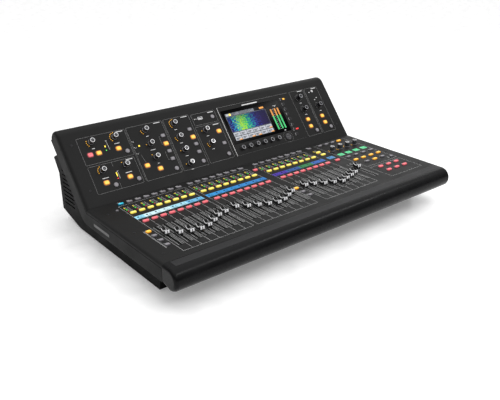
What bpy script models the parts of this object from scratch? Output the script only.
"""A full-size digital mixing console with motor faders, as separate working pieces.

Lengths are in millimetres, and MM turns them into Blender's metres. The desk frame has X to the
right, Y from the front edge to the back and Z up from the table. CENTRE_Y moves the desk so that
the origin lies under the middle of its bounding box. The upper panel has its own frame: X, V up
the slope from the bend, and H out of the surface.
"""

import math

import bmesh
import bpy
from mathutils import Euler, Vector

MM = 0.001

# Overall size.
WIDTH = 891.0
DEPTH = 602.0
HEIGHT = 256.0
HALF = WIDTH / 2
CENTRE_Y = DEPTH / 2
FOOT_HEIGHT = 5.0

# The side profile of the top surface.
SURFACE_Z = 100.0
SEAM_Y = 50.2
BEND_Y = 379.8
SLOPE = math.radians(50.3)
ROLL_R = 26.0
ARMREST_R = 26.3
ARMREST_LIFT = 7.0

# Sheets and gaps.
SHEET = 2.5
PAN_SHEET = 2.0
EDGE_R = 9.0
GAP = 0.3
CHASSIS_HALF = HALF - 24.0
CHEEK_TOP = EDGE_R + GAP
CHEEK_DEPTH = 46.5
CHEEK_BOTTOM_Z = 57.0
CHEEK_FILLET = 40.0
CHEEK_BEVEL = 2.0
CUT_REACH = 6.0

# The chassis pan's section, in Y and Z, and the vents in its side walls.
PAN_DROP = 4.5
STEP_TOP = (96.0, 52.0)
STEP_FOOT_Y = 105.0
FLOOR_BACK_Y = 487.0
PAN_BACK_Z = 28.0
PAN_TOP_V = 170.0
PAN_TOP_BACK = (535.0, 228.0)
PAN_REAR_Z = (30.0, 222.0)
OPEN_REACH = 60.0
VENT_COUNT = 10
VENT_START_Z = 50.0
VENT_PITCH = 11.0
VENT_HEIGHT = 4.0
VENT_Y = (505.0, 562.0)
FOOT_X = 369.0
FOOT_Y = (130.0, 455.0)
FOOT_R = 14.0

# The fader surface: columns, rows and the fader's travel.
PITCH = 23.6
BANK_X = [-367.0, -166.5, 50.5]
BANK_SIZE = 8
MAIN_X = 254.5
SELECT_Y = 358.0
SOLO_Y = 299.0
MUTE_Y = 242.0
TRAVEL_LOW = 100.0
TRAVEL_HIGH = 200.0
CHANNEL_REST = [161, 143, 134, 129, 133, 145, 160, 166, 171, 156, 145, 135, 127, 132, 144, 157]
GROUP_REST = [163, 156, 142, 132, 123, 131, 138, 146]
MAIN_REST = 170
STEM_X = 2.0
STEM_Y = 8.0
STEM_BOTTOM_Z = 82.0
SLOT_CLEAR = 0.6
SLOT_END = 1.0
CAP_X = 11.0
CAP_Y = 22.0
CAP_BOTTOM_Z = 101.5
CAP_TOP_Z = 112.5
CAP_TAPER = 0.92
SCOOP = 4.0
SCOOP_SHARE = 0.8

# Keys, moulded in mats whose webs lie under the panel.
KEY_X = 15.5
KEY_Y = 8.0
KEY_CLEAR = 0.4
KEY_TOP_Z = 103.2
WEB_TOP_Z = 94.5
WEB_BOTTOM_Z = 93.0
WEB_MARGIN = 3.0
ASSIGN_X = [297.5, 328.8, 360.2, 391.5]
ASSIGN_TOP_Y = 356.5
ASSIGN_TOP_X = [297.0 + 26.6 * i for i in range(4)]
MAIN_EXTRA_Y = 320.0
ASSIGN_KNOB_Y = 305.5
ASSIGN_ROWS = [240.5, 212.0]
LAYER_X = [312.0, 344.0, 376.0]
LAYER_Y = 183.0
MUTE_GROUP_ROWS = [133.0, 103.5]

# Encoders.
KNOB_R = 6.8
KNOB_SKIRT_R = 7.6
KNOB_LOW = 0.8
KNOB_HIGH = 15.0
SHAFT_R = 3.0
SHAFT_HOLE_R = 4.0
SHAFT_BOTTOM = -5.4
ROUND_STEPS = 16
KNOB_EDGE = 0.6
STRIP_ENCODERS = {
    "gain_encoder": (-370.0, 161.5),
    "filter_encoder": (-306.0, 161.5),
    "gate_encoder": (-370.0, 84.0),
    "dynamics_encoder": (-306.0, 84.0),
    "eq_gain_encoder": (-218.0, 161.5),
    "eq_frequency_encoder": (-218.0, 122.5),
    "eq_width_encoder": (-218.0, 84.0),
}

# The display.
GLASS_X = (26.0, 239.0)
GLASS_V = (62.0, 166.0)
GLASS_THICK = 2.2
GLASS_PROUD = 0.2
GLASS_CORNER = 2.0
MODULE_INSET = 2.0
MODULE_WIDTH = 160.0
MODULE_DEPTH = (-11.0, -2.4)

# Inner boards and boxes, on the slope (X, V, H) and in the desk frame.
BOARD_HALF_X = 412.0
BOARD_V = (12.0, 184.0)
BOARD_H = (-16.0, -14.4)
ENCODER_BODY = 13.0
BODY_CLEAR = 0.4
TRACK_SIZE = (12.0, 152.0)
TRACK_CLEAR = 1.0
CARRIER_X = -60.0
CARRIER_SIZE = (660.0, 168.0)
CARRIER_Z = (68.0, 72.0)
TRACK_FLOOR = 2.0
MAIN_BOARD = ((-300.0, 140.0, 17.0), (120.0, 400.0, 19.0))
CHIP_PLACES = [(-220.0, 330.0), (-140.0, 330.0), (-60.0, 330.0), (40.0, 230.0)]
CHIP_SIZE = 32.0
CHIP_HEIGHT = 4.0
POWER_BOX = ((200.0, 395.0, 24.0), (395.0, 530.0, 74.0))

# The rear panel, the mains inlet and the switch.
REAR_Y = 580.0
REAR_LINE = [(547.2, 229.4), (547.2, 193.0), (DEPTH, 164.0), (REAR_Y, 128.0), (REAR_Y, 30.3)]
INLET_X = 322.0
SWITCH_X = 370.0
POWER_Z = 62.0
INLET_SIZE = (30.0, 23.0)
INLET_HOLE = (24.0, 16.5)
INLET_DEPTH = 17.0
INLET_BACK = 5.0
INLET_PROUD = 1.0
SWITCH_SIZE = (14.0, 22.0)
SWITCH_TILT = math.radians(9.0)
SWITCH_INSET = 1.0
SWITCH_MARGIN = 1.6
ROCKER_DEPTH = -7.0
ROCKER_FACE = (2.6, 1.4)
ROCKER_TAPER = 0.55
SOCKET_COLUMNS = 16
SOCKET_ROWS = 2
SOCKET_PITCH = (36.0, 40.0)
SOCKET_SIZE = (26.0, 31.0)
SOCKET_START_X = -385.0
SOCKET_START_Z = 57.0
SOCKET_PLATE = 1.5
SOCKET_RISE = 1.5
SOCKET_MARGIN = 2.0


def panel_point(x, v, h=0.0):
    """A point of the upper panel's frame, in the desk frame."""
    y = BEND_Y + v * math.cos(SLOPE) - h * math.sin(SLOPE)
    z = SURFACE_Z + v * math.sin(SLOPE) + h * math.cos(SLOPE)
    return x, y, z


def clear_scene():
    for obj in list(bpy.data.objects):
        bpy.data.objects.remove(obj, do_unlink=True)


def material(name, colour, roughness, metallic=0.0):
    made = bpy.data.materials.get(name)
    if made is None:
        made = bpy.data.materials.new(name)
        made.use_nodes = True
        shader = made.node_tree.nodes["Principled BSDF"]
        shader.inputs["Base Color"].default_value = (*colour, 1.0)
        shader.inputs["Roughness"].default_value = roughness
        shader.inputs["Metallic"].default_value = metallic
    return made


def add_object(name, bm, look, origin=(0.0, CENTRE_Y, 0.0), tilt=0.0):
    """Turns a bmesh drawn about its origin into an object, at that origin of the desk frame."""
    bmesh.ops.recalc_face_normals(bm, faces=bm.faces)
    bmesh.ops.scale(bm, vec=(MM, MM, MM), verts=bm.verts)
    mesh = bpy.data.meshes.new(name)
    bm.to_mesh(mesh)
    bm.free()
    obj = bpy.data.objects.new(name, mesh)
    bpy.context.scene.collection.objects.link(obj)
    obj.location = Vector((origin[0], origin[1] - CENTRE_Y, origin[2])) * MM
    obj.rotation_euler = Euler((tilt, 0.0, 0.0))
    if look:
        mesh.materials.append(look)
    return obj


def boolean(obj, other, operation):
    other.hide_render = True
    other.display_type = "WIRE"
    modifier = obj.modifiers.new(operation.lower(), "BOOLEAN")
    modifier.operation = operation
    modifier.solver = "EXACT"
    modifier.object = other


def smooth(obj, degrees=35.0):
    obj.data.shade_smooth()
    obj.data.set_sharp_from_angle(angle=math.radians(degrees))


def from_desk(points):
    """Desk points, moved to the mesh frame of an object that sits at the desk's origin."""
    return [Vector((x, y - CENTRE_Y, z)) for x, y, z in points]


def add_loft(bm, rings):
    """A closed solid through rings of equal length, with flat ends."""
    loops = [[bm.verts.new(point) for point in ring] for ring in rings]
    for first, second in zip(loops, loops[1:]):
        for i in range(len(first)):
            j = (i + 1) % len(first)
            bm.faces.new((first[i], first[j], second[j], second[i]))
    bm.faces.new(loops[0])
    bm.faces.new(loops[-1])


def add_box(bm, low, high):
    corners = [(low[0], low[1]), (high[0], low[1]), (high[0], high[1]), (low[0], high[1])]
    add_loft(bm, [[Vector((x, y, z)) for x, y in corners] for z in (low[2], high[2])])


def add_prism_x(bm, outline, low_x, high_x):
    """An outline in Y and Z of the desk, drawn out along X."""
    add_loft(bm, [from_desk([(x, y, z) for y, z in outline]) for x in (low_x, high_x)])


def arc(centre, radius, start, end, steps):
    """Points on an arc, from one angle to another, in degrees."""
    points = []
    for i in range(steps + 1):
        angle = math.radians(start + (end - start) * i / steps)
        points.append((centre[0] + radius * math.cos(angle), centre[1] + radius * math.sin(angle)))
    return points


def right_of(a, b):
    """The unit vector to the right of the way from a to b."""
    run = math.hypot(b[0] - a[0], b[1] - a[1])
    return (b[1] - a[1]) / run, (a[0] - b[0]) / run


def mitred(point, sides, distance):
    """A corner moved so that the lines on each of its sides move by the distance."""
    total = (sum(side[0] for side in sides), sum(side[1] for side in sides))
    scale = distance / (total[0] * sides[0][0] + total[1] * sides[0][1])
    return point[0] + total[0] * scale, point[1] + total[1] * scale


def offset_line(points, distance):
    """An open line moved to the right of its direction, with mitred corners."""
    sides = [right_of(a, b) for a, b in zip(points, points[1:])]
    return [mitred(p, sides[max(i - 1, 0):i + 1], distance) for i, p in enumerate(points)]


def offset_loop(points, distance):
    """A closed outline moved to the right of its direction, with mitred corners."""
    sides = [right_of(a, b) for a, b in zip(points, points[1:] + points[:1])]
    return [mitred(p, [sides[i - 1], sides[i]], distance) for i, p in enumerate(points)]


def grid_of_boxes(centres, size, low_z, high_z):
    """One mesh of equal boxes, each centred on a point of the desk's plan."""
    bm = bmesh.new()
    for x, y in centres:
        low = (x - size[0] / 2, y - size[1] / 2 - CENTRE_Y, low_z)
        high = (x + size[0] / 2, y + size[1] / 2 - CENTRE_Y, high_z)
        add_box(bm, low, high)
    return bm


def add_post(bm, x, y, radius, low, high):
    rings = [[(x + dx, y + dy, z) for dx, dy in arc((0, 0), radius, 0, 360, ROUND_STEPS)[:-1]]
             for z in (low, high)]
    add_loft(bm, [[Vector(point) for point in ring] for ring in rings])


# Where the repeated controls stand.


def bank_columns():
    return [start + PITCH * i for start in BANK_X for i in range(BANK_SIZE)]


def fader_places():
    """Name, column and rest position of each fader."""
    columns = bank_columns()
    places = []
    for i, rest in enumerate(CHANNEL_REST):
        places.append((f"channel_fader_{i + 1:02d}", columns[i], float(rest)))
    for i, rest in enumerate(GROUP_REST):
        places.append((f"group_fader_{i + 1}", columns[len(CHANNEL_REST) + i], float(rest)))
    places.append(("main_fader", MAIN_X, float(MAIN_REST)))
    return places


def key_groups():
    """Each mat's key centres on the fader surface."""
    columns = bank_columns()
    assign = [(x, y) for y in ASSIGN_ROWS for x in ASSIGN_X]
    assign += [(x, y) for y in [LAYER_Y] + MUTE_GROUP_ROWS for x in LAYER_X]
    select = [(x, SELECT_Y) for x in columns + [MAIN_X]]
    return {
        "select_keys": select + [(x, ASSIGN_TOP_Y) for x in ASSIGN_TOP_X],
        "solo_keys": [(x, SOLO_Y) for x in columns + [MAIN_X]] + [(MAIN_X, MAIN_EXTRA_Y)],
        "mute_keys": [(x, MUTE_Y) for x in columns + [MAIN_X]],
        "assign_keys": assign,
    }


# Casing.


def rolled_section():
    """The top sheet's section, as X and depth: flat, with both side edges rolled down."""
    outer = arc((HALF - EDGE_R, EDGE_R), EDGE_R, 0, -90, 4)
    inner = arc((HALF - EDGE_R, EDGE_R), EDGE_R - SHEET, 0, -90, 4)
    right = outer
    left = [(-x, d) for x, d in reversed(outer)]
    back = [(-x, d) for x, d in inner] + [(x, d) for x, d in reversed(inner)]
    return right + left + back


def top_path_stations():
    """The top surface's path as (point, direction towards its inside) at each station."""
    mitre = (math.tan(SLOPE / 2), -1.0)
    centre_z = HEIGHT - ROLL_R
    rise = centre_z - SURFACE_Z
    centre_y = BEND_Y + (rise * math.cos(SLOPE) + ROLL_R) / math.sin(SLOPE)
    bend = (BEND_Y, SURFACE_Z)
    start_angle = 90.0 + math.degrees(SLOPE)
    roll = []
    for y, z in arc((centre_y, centre_z), ROLL_R, start_angle, 0, 8):
        roll.append(((y, z), ((centre_y - y) / ROLL_R, (centre_z - z) / ROLL_R)))
    lower = [((SEAM_Y + GAP, SURFACE_Z), (0.0, -1.0)), (bend, mitre)]
    gap_y, gap_z = GAP * math.cos(SLOPE), GAP * math.sin(SLOPE)
    upper = [((BEND_Y + gap_y, SURFACE_Z + gap_z), mitre)] + roll
    return lower, upper


def swept_sheet(stations):
    bm = bmesh.new()
    rings = []
    for (y, z), (inward_y, inward_z) in stations:
        ring = [(x, y + d * inward_y, z + d * inward_z) for x, d in rolled_section()]
        rings.append(from_desk(ring))
    add_loft(bm, rings)
    return bm


def make_fader_panel():
    lower, _ = top_path_stations()
    look = material("panel grey", (0.04, 0.04, 0.042), 0.45)
    panel = add_object("fader_panel", swept_sheet(lower), look)
    low_z, high_z = SURFACE_Z - CUT_REACH, SURFACE_Z + CUT_REACH
    bm = bmesh.new()
    slot_x = STEM_X / 2 + SLOT_CLEAR
    slot_y = STEM_Y / 2 + SLOT_END
    for _, x, _ in fader_places():
        low = (x - slot_x, TRAVEL_LOW - slot_y - CENTRE_Y, low_z)
        high = (x + slot_x, TRAVEL_HIGH + slot_y - CENTRE_Y, high_z)
        add_box(bm, low, high)
    half_x, half_y = KEY_X / 2 + KEY_CLEAR, KEY_Y / 2 + KEY_CLEAR
    for centres in key_groups().values():
        for x, y in centres:
            low = (x - half_x, y - half_y - CENTRE_Y, low_z)
            high = (x + half_x, y + half_y - CENTRE_Y, high_z)
            add_box(bm, low, high)
    for x in ASSIGN_X:
        add_post(bm, x, ASSIGN_KNOB_Y - CENTRE_Y, SHAFT_HOLE_R, low_z, high_z)
    boolean(panel, add_object("fader_panel_holes", bm, None), "DIFFERENCE")


def make_upper_panel():
    _, upper = top_path_stations()
    look = material("upper grey", (0.025, 0.025, 0.026), 0.4)
    panel = add_object("upper_panel", swept_sheet(upper), look)
    bm = bmesh.new()
    low = (GLASS_X[0] - GAP, GLASS_V[0] - GAP, -CUT_REACH)
    high = (GLASS_X[1] + GAP, GLASS_V[1] + GAP, CUT_REACH)
    add_box(bm, low, high)
    for x, v in STRIP_ENCODERS.values():
        add_post(bm, x, v, SHAFT_HOLE_R, -CUT_REACH, CUT_REACH)
    holes = add_object("upper_panel_holes", bm, None, panel_point(0, 0), SLOPE)
    boolean(panel, holes, "DIFFERENCE")
    smooth(panel)


def make_cheek(name, side):
    """A thick side cheek, following the bent profile below the sheet's rolled edge."""
    _, upper = top_path_stations()
    slope_in = (math.sin(SLOPE), -math.cos(SLOPE))
    bend_y = BEND_Y + CHEEK_TOP * math.tan(SLOPE / 2)
    top = [(SEAM_Y + 2 * GAP, SURFACE_Z - CHEEK_TOP), (bend_y, SURFACE_Z - CHEEK_TOP)]
    roll = [(y + CHEEK_TOP * inward[0], z + CHEEK_TOP * inward[1]) for (y, z), inward in upper[1:]]
    back_z = REAR_LINE[0][1]
    top += roll[:-1] + [(roll[-1][0], back_z)]
    run = (back_z - SURFACE_Z - CHEEK_DEPTH * slope_in[1]) / math.sin(SLOPE)
    back = (BEND_Y + CHEEK_DEPTH * slope_in[0] + run * math.cos(SLOPE), back_z)
    corner_run = (CHEEK_BOTTOM_Z - back_z) / math.sin(SLOPE)
    corner_y = back[0] + corner_run * math.cos(SLOPE)
    centre = (corner_y - CHEEK_FILLET * math.tan(SLOPE / 2), CHEEK_BOTTOM_Z + CHEEK_FILLET)
    fillet = arc(centre, CHEEK_FILLET, -90 + math.degrees(SLOPE), -90, 6)
    outline = top + [back] + fillet + [(SEAM_Y + 2 * GAP, CHEEK_BOTTOM_Z)]
    rings = [(CHASSIS_HALF + GAP, 0.0)]
    for angle in (0, 45, 90):
        step = CHEEK_BEVEL * (1 - math.cos(math.radians(angle)))
        rings.append((HALF - CHEEK_BEVEL * (1 - math.sin(math.radians(angle))), step))
    bm = bmesh.new()
    loops = [[(side * x, y, z) for y, z in offset_loop(outline, step)] for x, step in rings]
    add_loft(bm, [from_desk(loop) for loop in loops])
    smooth(add_object(name, bm, material("cheek grey", (0.04, 0.04, 0.042), 0.4)))


def armrest_outline(inset):
    centre = (ARMREST_R, SURFACE_Z - ARMREST_R)
    radius = ARMREST_R - inset
    nose = arc(centre, radius, 90, 270, 14)
    back_low = SURFACE_Z - 2 * ARMREST_R + ARMREST_LIFT
    return nose + [(SEAM_Y, back_low + inset), (SEAM_Y, SURFACE_Z - inset)]


def make_armrest():
    bm = bmesh.new()
    turns = [math.radians(angle) for angle in (0, 30, 60, 90)]
    left = [(-HALF + EDGE_R * (1 - math.cos(a)), EDGE_R * (1 - math.sin(a))) for a in turns]
    stations = left + [(-x, inset) for x, inset in reversed(left)]
    rings = [from_desk([(x, y, z) for y, z in armrest_outline(inset)]) for x, inset in stations]
    add_loft(bm, rings)
    smooth(add_object("front_armrest", bm, material("armrest", (0.03, 0.03, 0.031), 0.35)))


def pan_bottom_line():
    front_y = SEAM_Y + 2 * GAP
    return [(front_y, SURFACE_Z - PAN_DROP), (front_y, CHEEK_BOTTOM_Z), STEP_TOP,
            (STEP_FOOT_Y, FOOT_HEIGHT), (FLOOR_BACK_Y, FOOT_HEIGHT), (REAR_Y, PAN_BACK_Z)]


def make_bottom_pan():
    """The chassis tub: floor, front step and side walls, open to the top and to the rear panel."""
    bottom = pan_bottom_line()
    rear = list(reversed(offset_line(REAR_LINE, PAN_SHEET + GAP)))
    rear[0] = (rear[0][0], PAN_REAR_Z[0])
    rear[-1] = (rear[-1][0], PAN_REAR_Z[1])
    under_bend = (BEND_Y + PAN_DROP * math.tan(SLOPE / 2), SURFACE_Z - PAN_DROP)
    under_slope = [panel_point(0, PAN_TOP_V, -PAN_DROP)[1:], under_bend]
    outline = bottom + [(REAR_Y, PAN_REAR_Z[0])] + rear + [PAN_TOP_BACK] + under_slope
    bm = bmesh.new()
    add_prism_x(bm, outline, -CHASSIS_HALF, CHASSIS_HALF)
    pan = add_object("bottom_pan", bm, material("chassis black", (0.015, 0.015, 0.016), 0.5))
    floor = offset_line(bottom, -PAN_SHEET)
    rise = (PAN_BACK_Z - FOOT_HEIGHT) / (REAR_Y - FLOOR_BACK_Y)
    end = (floor[-1][0] + OPEN_REACH, floor[-1][1] + OPEN_REACH * rise)
    top = HEIGHT + OPEN_REACH
    cavity = [(floor[0][0], top)] + floor + [end, (DEPTH + OPEN_REACH, top)]
    bm = bmesh.new()
    add_prism_x(bm, cavity, -CHASSIS_HALF + PAN_SHEET, CHASSIS_HALF - PAN_SHEET)
    boolean(pan, add_object("pan_cavity", bm, None), "DIFFERENCE")
    bm = bmesh.new()
    for i in range(VENT_COUNT):
        low_z = VENT_START_Z + VENT_PITCH * i
        low = (-HALF, VENT_Y[0] - CENTRE_Y, low_z)
        add_box(bm, low, (HALF, VENT_Y[1] - CENTRE_Y, low_z + VENT_HEIGHT))
    boolean(pan, add_object("pan_vents", bm, None), "DIFFERENCE")


def make_rear_panel():
    bm = bmesh.new()
    inner = offset_line(REAR_LINE, PAN_SHEET)
    add_prism_x(bm, REAR_LINE + list(reversed(inner)), -CHASSIS_HALF, CHASSIS_HALF)
    panel = add_object("rear_panel", bm, material("rear black", (0.018, 0.018, 0.019), 0.5))
    bm = bmesh.new()
    for x, size in ((INLET_X, INLET_SIZE), (SWITCH_X, SWITCH_SIZE)):
        reach_x, reach_z = size[0] / 2 + GAP, size[1] / 2 + GAP
        low = (x - reach_x, REAR_Y - CUT_REACH - CENTRE_Y, POWER_Z - reach_z)
        high = (x + reach_x, REAR_Y + CUT_REACH - CENTRE_Y, POWER_Z + reach_z)
        add_box(bm, low, high)
    boolean(panel, add_object("rear_holes", bm, None), "DIFFERENCE")


def make_feet():
    look = material("foot rubber", (0.01, 0.01, 0.01), 0.8)
    for row, y in zip(("front", "rear"), FOOT_Y):
        for side, x in (("left", -FOOT_X), ("right", FOOT_X)):
            bm = bmesh.new()
            add_post(bm, 0, 0, FOOT_R, 0, FOOT_HEIGHT - GAP)
            smooth(add_object(f"foot_{row}_{side}", bm, look, (x, y, 0.0)))


# Display and inner pieces.


def make_display():
    bm = bmesh.new()
    low = (GLASS_X[0], GLASS_V[0], GLASS_PROUD - GLASS_THICK)
    add_box(bm, low, (GLASS_X[1], GLASS_V[1], GLASS_PROUD))
    corners = [e for e in bm.edges if abs(e.verts[0].co.z - e.verts[1].co.z) > GLASS_THICK / 2]
    bmesh.ops.bevel(bm, geom=corners, offset=GLASS_CORNER, segments=2, profile=0.5, affect="EDGES")
    look = material("black glass", (0.005, 0.005, 0.006), 0.08)
    add_object("display_glass", bm, look, panel_point(0, 0), SLOPE)
    bm = bmesh.new()
    low_x, low_v = GLASS_X[0] + MODULE_INSET, GLASS_V[0] + MODULE_INSET
    high = (low_x + MODULE_WIDTH, GLASS_V[1] - MODULE_INSET, MODULE_DEPTH[1])
    add_box(bm, (low_x, low_v, MODULE_DEPTH[0]), high)
    look = material("module grey", (0.3, 0.3, 0.31), 0.4, 0.6)
    add_object("display_module", bm, look, panel_point(0, 0), SLOPE)


def board_green():
    return material("board green", (0.01, 0.09, 0.04), 0.5)


def make_control_board():
    """The circuit board behind the upper panel, with a body under each of its encoders."""
    bm = bmesh.new()
    add_box(bm, (-BOARD_HALF_X, BOARD_V[0], BOARD_H[0]), (BOARD_HALF_X, BOARD_V[1], BOARD_H[1]))
    board = add_object("control_board", bm, board_green(), panel_point(0, 0), SLOPE)
    bm = bmesh.new()
    half, foot_h = ENCODER_BODY / 2, sum(BOARD_H) / 2
    for x, v in STRIP_ENCODERS.values():
        add_box(bm, (x - half, v - half, foot_h), (x + half, v + half, SHAFT_BOTTOM - BODY_CLEAR))
    boolean(board, add_object("encoder_bodies", bm, None, panel_point(0, 0), SLOPE), "UNION")


def make_fader_board():
    """The carrier board with a slotted track for each fader."""
    top_z = SURFACE_Z - SHEET - TRACK_CLEAR
    middle = (TRAVEL_LOW + TRAVEL_HIGH) / 2
    centres = [(x, middle) for _, x, _ in fader_places()]
    plate = grid_of_boxes([(CARRIER_X, middle)], CARRIER_SIZE, *CARRIER_Z)
    board = add_object("fader_board", plate, board_green())
    tracks = grid_of_boxes(centres, TRACK_SIZE, sum(CARRIER_Z) / 2, top_z)
    boolean(board, add_object("track_bodies", tracks, None), "UNION")
    slot_y = TRAVEL_HIGH - TRAVEL_LOW + STEM_Y + 4 * SLOT_END
    slot = (STEM_X + 2 * SLOT_CLEAR, slot_y)
    slots = grid_of_boxes(centres, slot, STEM_BOTTOM_Z - TRACK_FLOOR, SURFACE_Z)
    boolean(board, add_object("track_slots", slots, None), "DIFFERENCE")


def make_inner_boxes():
    bm = bmesh.new()
    add_box(bm, *from_desk(MAIN_BOARD))
    board = add_object("main_board", bm, board_green())
    low_z, high_z = MAIN_BOARD[0][2], MAIN_BOARD[1][2]
    chips = grid_of_boxes(CHIP_PLACES, (CHIP_SIZE, CHIP_SIZE), (low_z + high_z) / 2, high_z + CHIP_HEIGHT)
    boolean(board, add_object("main_chips", chips, None), "UNION")
    bm = bmesh.new()
    add_box(bm, *from_desk(POWER_BOX))
    add_object("power_supply", bm, material("power supply", (0.45, 0.45, 0.46), 0.35, 0.8))


# Rear fittings.


def make_socket_bank():
    """The plate of the rear signal sockets, with a raised flange for each."""
    last_x = SOCKET_START_X + SOCKET_PITCH[0] * (SOCKET_COLUMNS - 1)
    last_z = SOCKET_START_Z + SOCKET_PITCH[1] * (SOCKET_ROWS - 1)
    near, far = REAR_Y + GAP - CENTRE_Y, REAR_Y + GAP + SOCKET_PLATE - CENTRE_Y
    margin_x, margin_z = SOCKET_PITCH[0] / 2, SOCKET_PITCH[1] / 2 + SOCKET_MARGIN
    bm = bmesh.new()
    low = (SOCKET_START_X - margin_x, near, SOCKET_START_Z - margin_z)
    high = (last_x + margin_x, far, last_z + margin_z)
    add_box(bm, low, high)
    bank = add_object("rear_socket_bank", bm, material("socket plate", (0.02, 0.02, 0.02), 0.45))
    bm = bmesh.new()
    for row in range(SOCKET_ROWS):
        for column in range(SOCKET_COLUMNS):
            x = SOCKET_START_X + SOCKET_PITCH[0] * column
            z = SOCKET_START_Z + SOCKET_PITCH[1] * row
            low = (x - SOCKET_SIZE[0] / 2, (near + far) / 2, z - SOCKET_SIZE[1] / 2)
            high = (x + SOCKET_SIZE[0] / 2, far + SOCKET_RISE, z + SOCKET_SIZE[1] / 2)
            add_box(bm, low, high)
    boolean(bank, add_object("socket_flanges", bm, None), "UNION")


def make_mains_inlet():
    bm = bmesh.new()
    back = REAR_Y - INLET_DEPTH - INLET_BACK - CENTRE_Y
    face = REAR_Y + INLET_PROUD - CENTRE_Y
    half_x, half_z = INLET_SIZE[0] / 2, INLET_SIZE[1] / 2
    add_box(bm, (INLET_X - half_x, back, POWER_Z - half_z), (INLET_X + half_x, face, POWER_Z + half_z))
    inlet = add_object("mains_inlet", bm, material("inlet black", (0.012, 0.012, 0.012), 0.5))
    bm = bmesh.new()
    half_x, half_z = INLET_HOLE[0] / 2, INLET_HOLE[1] / 2
    low = (INLET_X - half_x, face - INLET_DEPTH, POWER_Z - half_z)
    high = (INLET_X + half_x, face + INLET_PROUD, POWER_Z + half_z)
    add_box(bm, low, high)
    boolean(inlet, add_object("inlet_hollow", bm, None), "DIFFERENCE")


def make_power_switch():
    """A rocker, hinged on a line along X inside the rear panel."""
    half_x, half_z = SWITCH_SIZE[0] / 2, SWITCH_SIZE[1] / 2 - SWITCH_MARGIN
    end, dip = ROCKER_FACE
    back_z = half_z * ROCKER_TAPER
    profile = [(ROCKER_DEPTH, -back_z), (end, -half_z), (dip, 0.0), (end, half_z), (ROCKER_DEPTH, back_z)]
    bm = bmesh.new()
    add_loft(bm, [[Vector((x, y, z)) for y, z in profile] for x in (-half_x, half_x)])
    add_object("power_switch", bm, material("switch black", (0.02, 0.02, 0.02), 0.35),
               (SWITCH_X, REAR_Y - SWITCH_INSET, POWER_Z), SWITCH_TILT)


# Controls that move.


def make_faders():
    look = material("fader cap", (0.6, 0.6, 0.62), 0.25, 0.7)
    centre_z = (STEM_BOTTOM_Z + CAP_BOTTOM_Z) / 2
    low, high = CAP_BOTTOM_Z - centre_z, CAP_TOP_Z - centre_z
    half_y, half_stem = CAP_Y / 2, STEM_Y / 2
    scoop = []
    for share in (1.0, 0.5, 0.0, -0.5, -1.0):
        scoop.append((share * half_y * SCOOP_SHARE, high - SCOOP * math.cos(share * math.pi / 2)))
    stem = [(-half_stem, low), (half_stem, low)]
    lip = half_y * CAP_TAPER
    profile = stem + [(half_y, low), (lip, high)] + scoop + [(-lip, high), (-half_y, low)]
    for name, x, rest in fader_places():
        bm = bmesh.new()
        add_loft(bm, [[Vector((side * CAP_X / 2, y, z)) for y, z in profile] for side in (-1, 1)])
        cap = add_object(name, bm, look, (x, rest, centre_z))
        bm = bmesh.new()
        bottom = STEM_BOTTOM_Z - centre_z
        add_box(bm, (-STEM_X / 2, -half_stem, bottom), (STEM_X / 2, half_stem, low + STEM_X))
        boolean(cap, add_object(name + "_stem", bm, None, (x, rest, centre_z)), "UNION")


def make_key_mats():
    looks = {
        "select_keys": material("select keys", (0.28, 0.27, 0.28), 0.5),
        "solo_keys": material("solo keys", (1.0, 0.8, 0.05), 0.4),
        "mute_keys": material("mute keys", (0.95, 0.2, 0.22), 0.4),
        "assign_keys": material("assign keys", (0.28, 0.27, 0.28), 0.5),
    }
    for name, centres in key_groups().items():
        xs, ys = [c[0] for c in centres], [c[1] for c in centres]
        middle = ((min(xs) + max(xs)) / 2, (min(ys) + max(ys)) / 2)
        width = max(xs) - min(xs) + KEY_X + 2 * WEB_MARGIN
        depth = max(ys) - min(ys) + KEY_Y + 2 * WEB_MARGIN
        web = grid_of_boxes([middle], (width, depth), WEB_BOTTOM_Z, WEB_TOP_Z)
        mat = add_object(name, web, looks[name])
        keys = grid_of_boxes(centres, (KEY_X, KEY_Y), (WEB_BOTTOM_Z + WEB_TOP_Z) / 2, KEY_TOP_Z)
        boolean(mat, add_object(name + "_caps", keys, None), "UNION")


def make_encoder(name, place, tilt):
    """A knob with a bright dished top, turned about its shaft."""
    profile = [(SHAFT_R, SHAFT_BOTTOM), (SHAFT_R, KNOB_LOW), (KNOB_SKIRT_R, KNOB_LOW),
               (KNOB_R, KNOB_HIGH - KNOB_EDGE), (KNOB_R - KNOB_EDGE, KNOB_HIGH)]
    bm = bmesh.new()
    rings = []
    for radius, height in profile:
        ring = arc((0, 0), radius, 0, 360, ROUND_STEPS)[:-1]
        rings.append([Vector((x, y, height)) for x, y in ring])
    add_loft(bm, rings)
    smooth(add_object(name, bm, material("knob", (0.05, 0.05, 0.052), 0.35), place, tilt))


def main():
    clear_scene()
    make_bottom_pan()
    make_rear_panel()
    make_cheek("left_cheek", -1)
    make_cheek("right_cheek", 1)
    make_armrest()
    make_fader_panel()
    make_upper_panel()
    make_display()
    make_control_board()
    make_fader_board()
    make_inner_boxes()
    make_socket_bank()
    make_mains_inlet()
    make_power_switch()
    make_feet()
    make_faders()
    make_key_mats()
    for name, (x, v) in STRIP_ENCODERS.items():
        make_encoder(name, panel_point(x, v), SLOPE)
    for i, x in enumerate(ASSIGN_X):
        make_encoder(f"assign_encoder_{i + 1}", (x, ASSIGN_KNOB_Y, SURFACE_Z), 0.0)


main()
